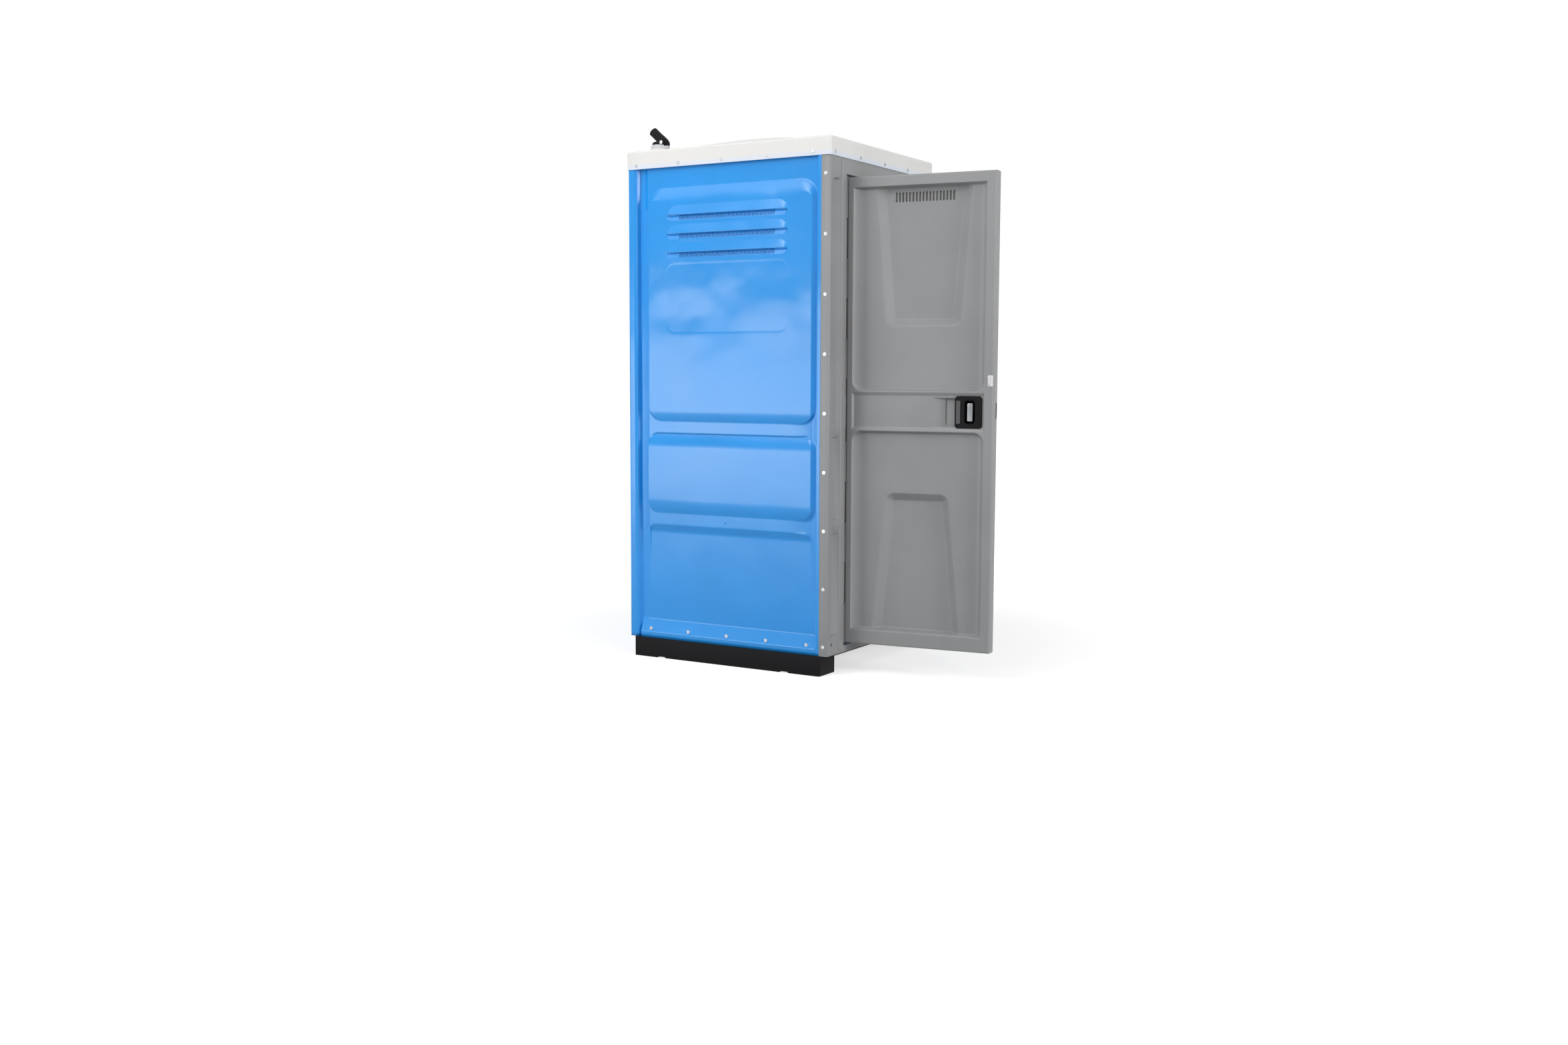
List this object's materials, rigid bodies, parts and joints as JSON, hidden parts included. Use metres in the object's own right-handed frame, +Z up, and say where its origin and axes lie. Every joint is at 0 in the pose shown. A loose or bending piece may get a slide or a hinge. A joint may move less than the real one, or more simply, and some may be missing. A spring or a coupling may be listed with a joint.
{
  "type": "portable shower cabin",
  "caption": "Portable shower cabin with louvred moulded walls on twin skids, a hinged panelled door with a sliding latch and a tilting water inlet on its domed roof.",
  "frame": {"origin": "on the ground under the middle of the cabin, midway between the ground anchor holes", "axes": "+Z up, the front with the door at -Y, +X to the right seen from the front"},
  "size_m": [0.961, 1.639, 2.3019],
  "materials": {
    "black_plastic": "moulded, faintly grained",
    "tray_white": "moulded, satin",
    "polished_steel": "polished",
    "dark_plastic": "moulded, satin",
    "wall_blue": "rotomoulded, satin sheen",
    "zinc": "bright zinc",
    "frame_grey": "rotomoulded, fine grain",
    "roof_white": "translucent off-white moulding",
    "sleeve_grey": "moulded, satin",
    "plate_white": "painted",
    "knob_red": "gloss",
    "knob_blue": "gloss"
  },
  "bodies": {
    "cabin": {"left_skid": "black_plastic", "right_skid": "black_plastic", "base_deck": "black_plastic", "shower_tray": "tray_white", "drain_grate": "polished_steel", "drain_trap": "dark_plastic", "anchor_plugs": "dark_plastic", "left_wall": "wall_blue", "right_wall": "wall_blue", "rear_wall": "wall_blue", "rear_angles": "zinc", "front_frame": "frame_grey", "roof": "roof_white", "corner_screws": "zinc", "roof_screws": "zinc", "sill_screws": "zinc", "rear_screws": "zinc", "frame_knuckles": "frame_grey", "hinge_rod": "zinc", "rod_caps": "dark_plastic", "hinge_sleeve": "sleeve_grey", "strike_plate": "zinc", "inlet_base": "sleeve_grey", "inlet_foot": "black_plastic", "inlet_pivot_pin": "zinc", "supply_pipe": "polished_steel", "mixer_body": "polished_steel", "riser_pipe": "polished_steel", "shower_arm": "polished_steel", "pipe_clips": "dark_plastic", "soap_shelf": "tray_white", "coat_hooks": "polished_steel", "hook_screws": "zinc"},
    "door": {"door_shell": "frame_grey", "door_inner_skin": "frame_grey", "door_knuckles": "frame_grey", "edge_plate": "plate_white", "edge_plate_screws": "zinc", "latch_bezel": "black_plastic", "inner_latch_cover": "black_plastic"},
    "latch_slide": {"latch_grip": "polished_steel", "latch_bolt": "black_plastic", "inner_latch_knob": "black_plastic"},
    "hot_tap": {"hot_knob": "knob_red"},
    "cold_tap": {"cold_knob": "knob_blue"},
    "inlet_swivel": {"inlet_tube": "black_plastic"},
    "spray_head": {"shower_head": "polished_steel", "nozzle_plate": "dark_plastic"}
  },
  "joints": [
    {"name": "door_hinge", "type": "hinge", "parent": "cabin", "child": "door", "pos_m": [-0.318, -0.4935, 1.086], "axis": [0, 0, -1], "range_deg": [-83.4, 12]},
    {"name": "latch_travel", "type": "slide", "parent": "door", "child": "latch_slide", "axis": [0.1149, -0.9934, 0], "range_m": [-0.012, 0.0095]},
    {"name": "hot_tap_turn", "type": "hinge", "parent": "cabin", "child": "hot_tap", "pos_m": [-0.394, 0.359, 1.1], "axis": [1, 0, 0], "range_deg": [0, 270]},
    {"name": "cold_tap_turn", "type": "hinge", "parent": "cabin", "child": "cold_tap", "pos_m": [-0.394, 0.239, 1.1], "axis": [1, 0, 0], "range_deg": [0, 270]},
    {"name": "inlet_tilt", "type": "hinge", "parent": "cabin", "child": "inlet_swivel", "pos_m": [-0.414, 0.347, 2.236], "axis": [1, 0, 0], "range_deg": [-15, 49]},
    {"name": "spray_tilt", "type": "hinge", "parent": "cabin", "child": "spray_head", "pos_m": [-0.224, 0.269, 1.934], "axis": [0, 1, 0], "range_deg": [-20, 20]}
  ]
}
